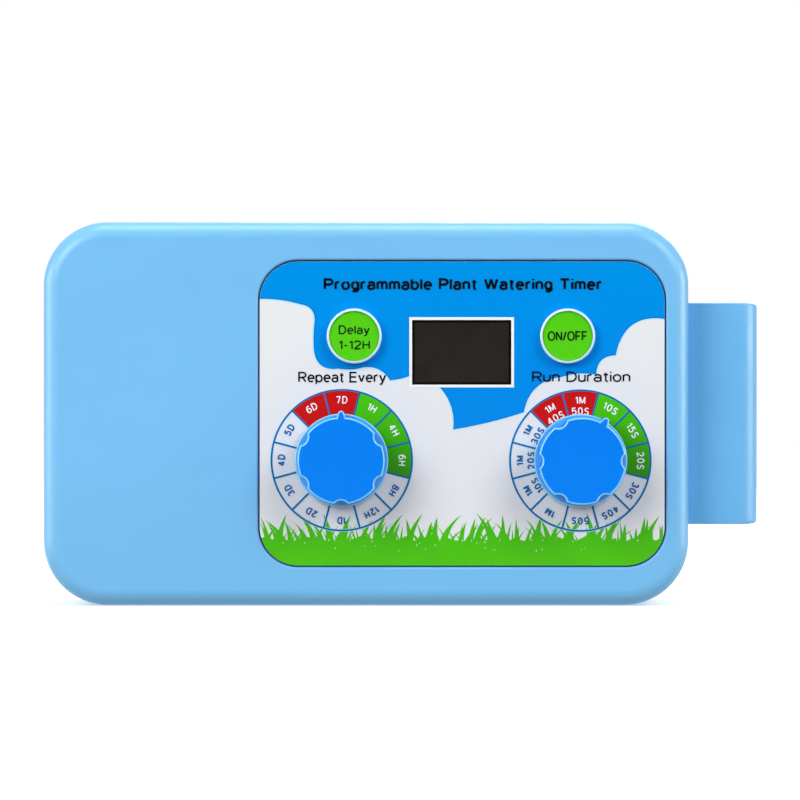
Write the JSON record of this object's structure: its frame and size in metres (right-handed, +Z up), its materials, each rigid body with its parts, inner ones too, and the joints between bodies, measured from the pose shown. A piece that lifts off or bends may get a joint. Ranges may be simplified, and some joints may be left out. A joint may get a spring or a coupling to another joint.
{
  "type": "drip irrigation timer",
  "caption": "Battery drip irrigation timer: round-cornered case with built-in diaphragm pump, sunk printed panel with dials, keys and display, end hook and sliding battery door.",
  "frame": {"origin": "centre of the contact area under the long lower side, on which the case stands", "axes": "+X to the panel's right and towards the hook, -Y out of the control panel, +Z up the panel"},
  "size_m": [0.1668, 0.0495, 0.089],
  "materials": {
    "case_blue": "moulded light blue ABS, satin gloss",
    "hook_blue": "moulded light blue ABS, satin gloss",
    "overlay_print": "printed polycarbonate film: sky, clouds and grass",
    "window_smoke": "smoked clear acrylic",
    "display_black": "black display body",
    "board_green": "green solder mask",
    "black_plastic": "black moulded plastic",
    "capacitor_blue": "shrunk sleeve",
    "white_plastic": "natural white moulded plastic",
    "knob_blue": "translucent bright blue plastic",
    "key_clear": "clear polycarbonate",
    "key_green": "printed bright green insert",
    "cell_jacket": null,
    "spring_steel": "nickel-plated",
    "copper_winding": "enamelled copper wire",
    "magnet_grey": "bonded ferrite",
    "rubber_grey": "soft rubber",
    "lead_red": "wire insulation",
    "lead_black": "wire insulation"
  },
  "bodies": {
    "case": {"front_shell": "case_blue", "rear_shell": "case_blue", "hanging_hook": "hook_blue", "front_overlay": "overlay_print", "display_window": "window_smoke", "led_display": "display_black", "circuit_board": "board_green", "controller_chip": "black_plastic", "pump_driver": "black_plastic", "storage_capacitor": "capacitor_blue", "small_components": "black_plastic", "buzzer": "black_plastic", "wire_connectors": "white_plastic", "interval_switch": "black_plastic", "duration_switch": "black_plastic", "delay_switch": "black_plastic", "power_switch": "black_plastic", "battery_cells": "cell_jacket", "spring_contacts": "spring_steel", "plate_contacts": "spring_steel", "battery_leads": "lead_red", "pump_leads": "lead_black", "motor_can": "spring_steel", "motor_end_cap": "black_plastic", "motor_magnets": "magnet_grey", "crank_housing": "white_plastic", "wobble_plate": "white_plastic", "pump_diaphragm": "rubber_grey", "valve_plate": "white_plastic", "pump_head": "white_plastic", "head_screws": "spring_steel", "pump_sleeve": "rubber_grey", "pump_strap": "white_plastic", "strap_screws": "spring_steel", "case_screws": "spring_steel", "board_screws": "spring_steel"},
    "interval_dial": {"interval_shaft": "white_plastic", "interval_knob": "knob_blue"},
    "duration_dial": {"duration_shaft": "white_plastic", "duration_knob": "knob_blue"},
    "delay_key": {"delay_cap": "key_clear", "delay_insert": "key_green", "delay_plunger": "white_plastic"},
    "power_key": {"power_cap": "key_clear", "power_insert": "key_green", "power_plunger": "white_plastic"},
    "door": {"battery_door": "case_blue"},
    "pump_rotor": {"motor_armature": "copper_winding", "motor_shaft": "spring_steel", "pump_eccentric": "white_plastic"}
  },
  "joints": [
    {"name": "interval_dial_turn", "type": "hinge", "parent": "case", "child": "interval_dial", "pos_m": [-0.0056, -0.019, 0.0337], "axis": [0, -1, 0], "range_deg": [0, 330]},
    {"name": "duration_dial_turn", "type": "hinge", "parent": "case", "child": "duration_dial", "pos_m": [0.0497, -0.019, 0.0336], "axis": [0, -1, 0], "range_deg": [-330, 0]},
    {"name": "delay_key_press", "type": "slide", "parent": "case", "child": "delay_key", "axis": [0, 1, 0], "range_m": [0, 0.0004], "stiffness_N_per_m": 400, "springref_m": -0.002},
    {"name": "power_key_press", "type": "slide", "parent": "case", "child": "power_key", "axis": [0, 1, 0], "range_m": [0, 0.0004], "stiffness_N_per_m": 400, "springref_m": -0.002},
    {"name": "door_slide", "type": "slide", "parent": "case", "child": "door", "axis": [0, 0, 1], "range_m": [0, 0.078]},
    {"name": "pump_shaft_spin", "type": "hinge", "parent": "case", "child": "pump_rotor", "pos_m": [-0.048, 0.0025, 0.0445], "axis": [0, 0, 1], "continuous": true}
  ]
}
